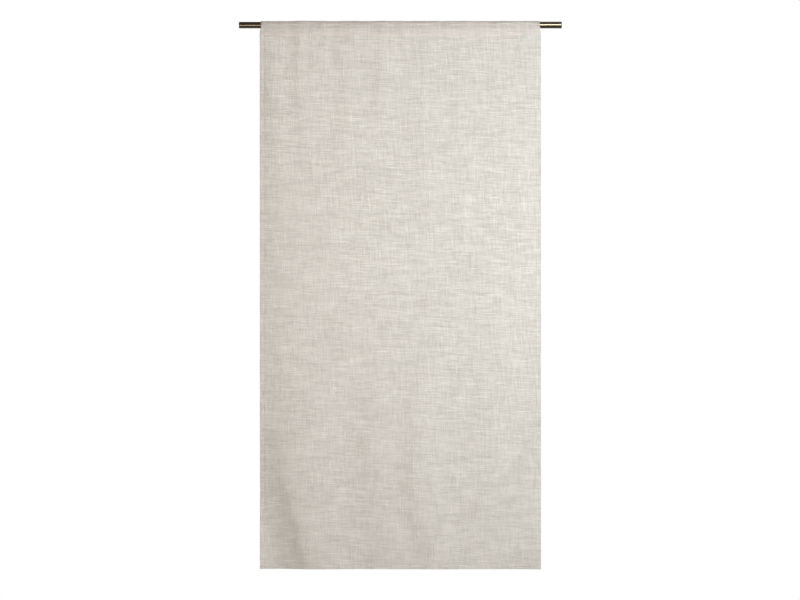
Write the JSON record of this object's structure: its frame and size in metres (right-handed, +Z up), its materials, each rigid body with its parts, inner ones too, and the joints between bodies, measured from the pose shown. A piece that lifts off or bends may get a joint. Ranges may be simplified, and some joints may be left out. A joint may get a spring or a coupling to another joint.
{
  "type": "cafe curtain with rod",
  "caption": "Flat, semi-sheer slub-weave cafe curtain panel with narrow hems, gathered lightly by a rod pocket on a thin round metal rod.",
  "frame": {"origin": "on the rod's axis, at the middle of its length", "axes": "+X along the rod to the right as seen from the front, +Z up the cloth, -Y out of the cloth's front"},
  "size_m": [0.528, 0.0163, 0.8978],
  "materials": {
    "slub_cloth": "matt, lightly see-through slub weave",
    "rod_metal": "glossy dark bronze"
  },
  "bodies": {
    "root": {"curtain_panel": "slub_cloth", "rod": "rod_metal"}
  },
  "joints": []
}
